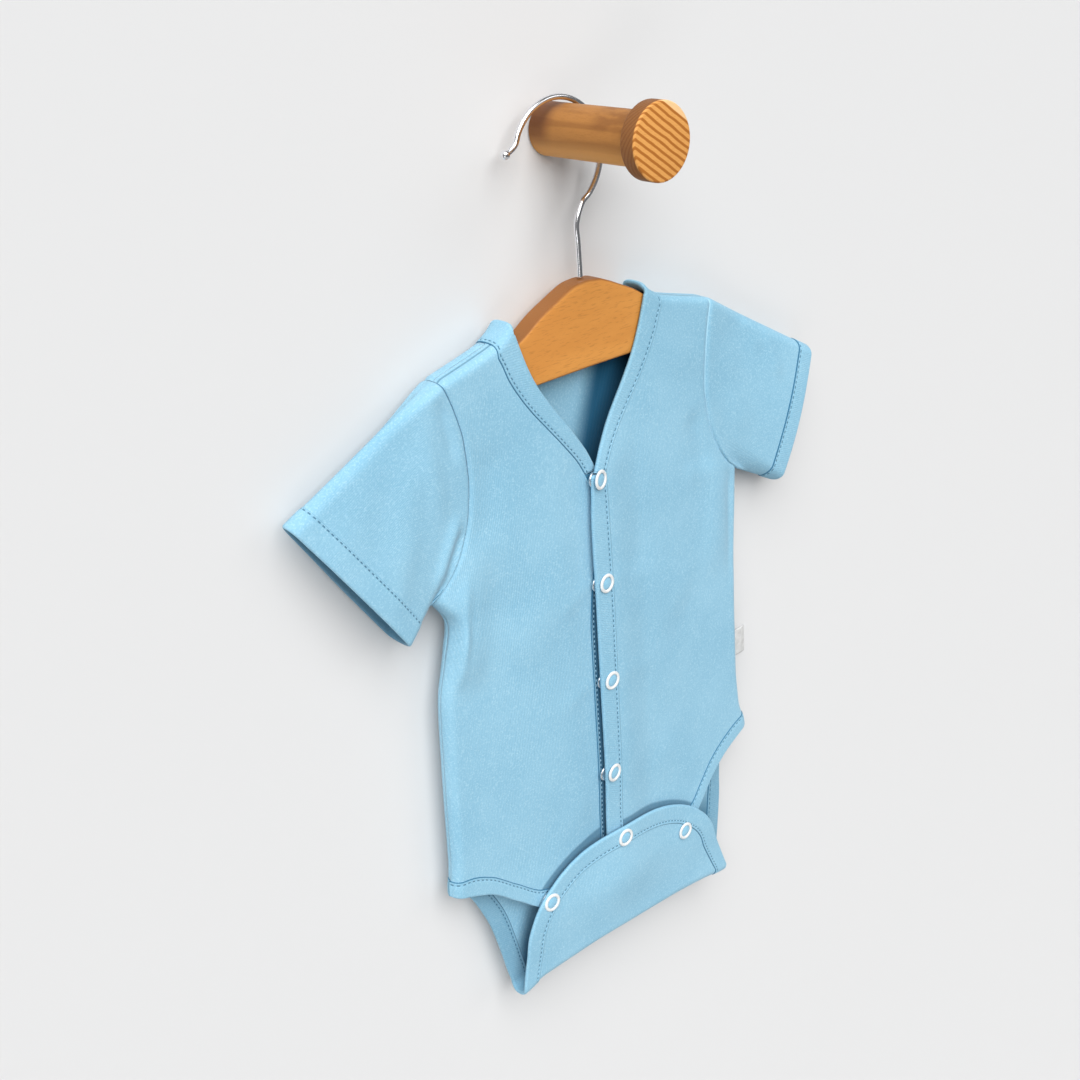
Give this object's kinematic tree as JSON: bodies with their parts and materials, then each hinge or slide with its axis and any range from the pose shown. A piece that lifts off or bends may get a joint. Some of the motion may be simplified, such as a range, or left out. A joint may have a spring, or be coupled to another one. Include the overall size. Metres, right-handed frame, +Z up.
{
  "type": "baby onesie on a wooden hanger and round wall peg",
  "caption": "Short sleeved cotton baby bodysuit with a V neck, snap front and snap crotch flap, hung by a wire hook hanger on a wall peg.",
  "frame": {"origin": "centre of the peg's back face, where it meets the wall", "axes": "+Z up, +Y into the wall, +X to the right of someone who faces the wall"},
  "size_m": [0.3279, 0.0707, 0.4553],
  "materials": {
    "jersey": "pale blue cotton interlock, matt",
    "steel": "polished wire",
    "enamel": "white enamelled snap rings",
    "beech": "clear lacquered beech",
    "peg_wood": "oiled brown wood with dark grain",
    "label": "blank satin tape"
  },
  "bodies": {
    "root": {"front_left": "jersey", "front_right": "jersey", "back": "jersey", "sleeve_left": "jersey", "sleeve_hem_left": "jersey", "sleeve_right": "jersey", "sleeve_hem_right": "jersey", "placket_left": "jersey", "placket_right": "jersey", "leg_binding_left": "jersey", "leg_binding_right": "jersey", "neck_binding": "jersey", "crotch_binding": "jersey", "snap_ring_1": "enamel", "snap_ring_2": "enamel", "snap_ring_3": "enamel", "snap_ring_4": "enamel", "snap_ring_5": "enamel", "snap_ring_6": "enamel", "snap_ring_7": "enamel", "snap_socket_1": "steel", "snap_socket_2": "steel", "snap_socket_3": "steel", "snap_socket_4": "steel", "snap_socket_5": "steel", "snap_socket_6": "steel", "snap_socket_7": "steel", "side_label": "label", "hanger": "beech", "hanger_hook": "steel", "peg": "peg_wood", "peg_knob": "peg_wood"}
  },
  "joints": []
}
